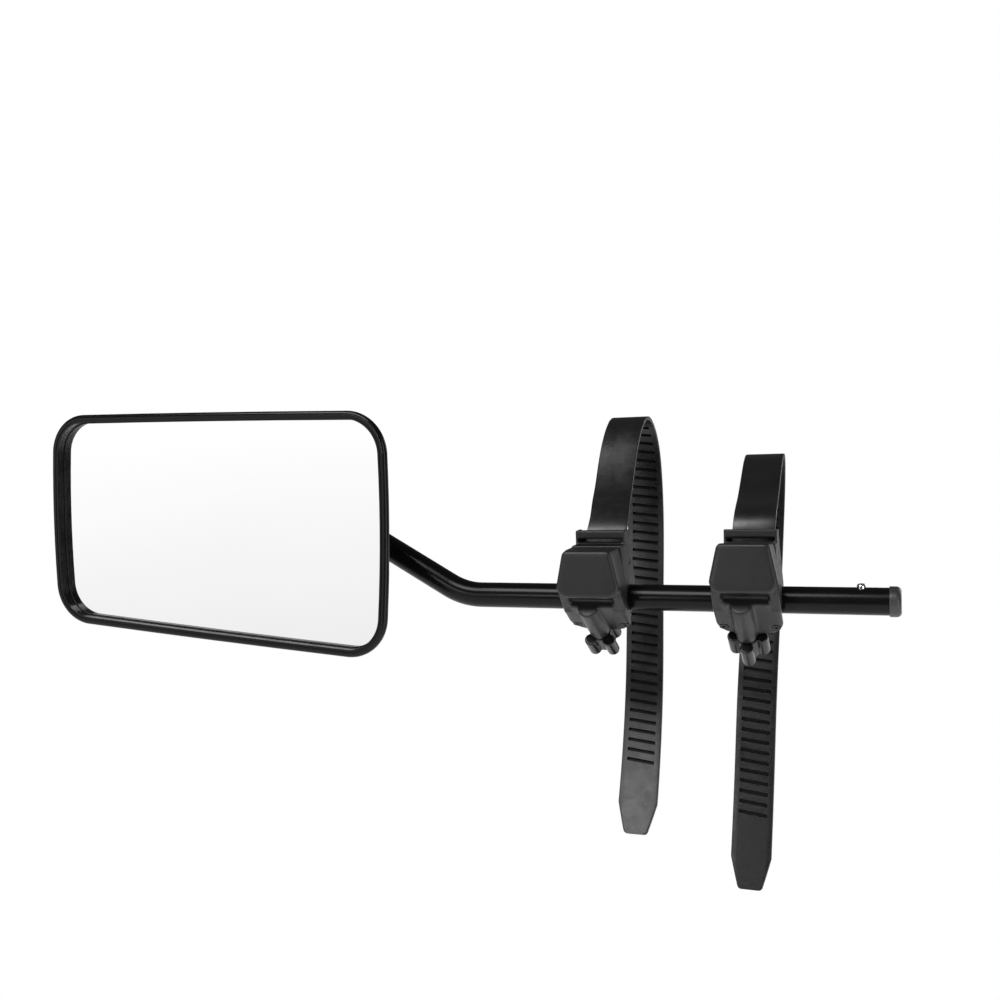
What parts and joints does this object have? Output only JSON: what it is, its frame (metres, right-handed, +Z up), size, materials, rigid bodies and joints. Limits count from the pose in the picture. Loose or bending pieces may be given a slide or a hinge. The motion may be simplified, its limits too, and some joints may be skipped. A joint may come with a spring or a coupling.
{
  "type": "strap-on towing mirror",
  "caption": "Strap-on towing mirror: rectangular glass on a ball joint at the end of a bent tube, which slides and turns in strap clamps with worm knobs.",
  "frame": {"origin": "centre of the outer face of the inner clamp's rear pad, where it bears on the vehicle's mirror housing", "axes": "+X along the straight of the arm towards its capped free end, +Y away from the driver towards the vehicle's mirror, +Z up"},
  "size_m": [0.5552, 0.1634, 0.3182],
  "materials": {
    "arm_paint": "gloss black powder coat",
    "gloss_plastic": "gloss",
    "clamp_plastic": "fine moulded texture",
    "knob_plastic": "satin moulded",
    "shell_plastic": "moulded leather grain",
    "rim_plastic": "semi-gloss moulded",
    "liner_plastic": "natural moulded",
    "strap_rubber": "satin elastomer",
    "pad_rubber": "closed-cell foam rubber",
    "zinc_steel": "zinc plated",
    "bright_steel": "ground",
    "button_chrome": "polished",
    "mirror_glass": "silvered, slightly convex look"
  },
  "bodies": {
    "inner_clamp": {"clamp_body_inner": "clamp_plastic", "front_cover_inner": "clamp_plastic", "cover_screws_inner": "zinc_steel", "anchor_pin_inner": "zinc_steel", "strap_inner": "strap_rubber", "rear_pad_inner": "pad_rubber"},
    "inner_knob": {"worm_screw_inner": "zinc_steel", "knob_inner": "knob_plastic", "knob_screw_inner": "zinc_steel"},
    "inner_liner": {"tube_liner_inner": "liner_plastic"},
    "arm": {"arm_tube": "arm_paint", "end_cap": "gloss_plastic", "arm_elbow": "clamp_plastic", "elbow_screw": "zinc_steel", "ball_stud": "bright_steel", "button_spring": "zinc_steel"},
    "snap_button": {"snap_button": "button_chrome"},
    "outer_liner": {"tube_liner_outer": "liner_plastic"},
    "outer_clamp": {"clamp_body_outer": "clamp_plastic", "front_cover_outer": "clamp_plastic", "cover_screws_outer": "zinc_steel", "anchor_pin_outer": "zinc_steel", "strap_outer": "strap_rubber", "rear_pad_outer": "pad_rubber"},
    "outer_knob": {"worm_screw_outer": "zinc_steel", "knob_outer": "knob_plastic", "knob_screw_outer": "zinc_steel"},
    "ball_liner": {"ball_liner": "liner_plastic"},
    "ball_seats": {"seat_front": "liner_plastic", "seat_rear": "liner_plastic"},
    "mirror_head": {"head_shell": "shell_plastic", "socket_collar": "clamp_plastic", "glass_pad": "pad_rubber", "mirror_glass": "mirror_glass", "rim": "rim_plastic"}
  },
  "joints": [
    {"name": "inner_knob_turn", "type": "hinge", "parent": "inner_clamp", "child": "inner_knob", "pos_m": [-0.0025, -0.02518, -0.0287], "axis": [0, 0.809, -0.5878], "continuous": true},
    {"name": "arm_turn", "type": "hinge", "parent": "inner_clamp", "child": "inner_liner", "pos_m": [0, -0.01472, -0.0143], "axis": [1, 0, 0], "continuous": true},
    {"name": "arm_slide", "type": "slide", "parent": "inner_liner", "child": "arm", "axis": [1, 0, 0], "range_m": [-0.018, 0.055]},
    {"name": "button_press", "type": "slide", "parent": "arm", "child": "snap_button", "axis": [0, 0, -1], "range_m": [0, 0.002], "stiffness_N_per_m": 1500, "deforming": ["button_spring"]},
    {"name": "outer_clamp_slide", "type": "slide", "parent": "arm", "child": "outer_liner", "axis": [1, 0, 0], "range_m": [-0.018, 0.035]},
    {"name": "outer_clamp_turn", "type": "hinge", "parent": "outer_liner", "child": "outer_clamp", "pos_m": [0.0909, -0.01472, -0.0143], "axis": [1, 0, 0], "continuous": true},
    {"name": "outer_knob_turn", "type": "hinge", "parent": "outer_clamp", "child": "outer_knob", "pos_m": [0.0884, -0.02686, -0.02731], "axis": [0, 0.7314, -0.682], "continuous": true},
    {"name": "head_pan", "type": "hinge", "parent": "arm", "child": "ball_liner", "pos_m": [-0.1747, -0.04522, 0.03264], "axis": [0, 0, 1], "range_deg": [-18, 18]},
    {"name": "head_tilt", "type": "hinge", "parent": "ball_liner", "child": "ball_seats", "pos_m": [-0.1747, -0.04522, 0.03264], "axis": [1, 0, 0], "range_deg": [-18, 18]},
    {"name": "head_roll", "type": "hinge", "parent": "ball_seats", "child": "mirror_head", "pos_m": [-0.1747, -0.04522, 0.03264], "axis": [0, 1, 0], "range_deg": [-30, 30]}
  ]
}
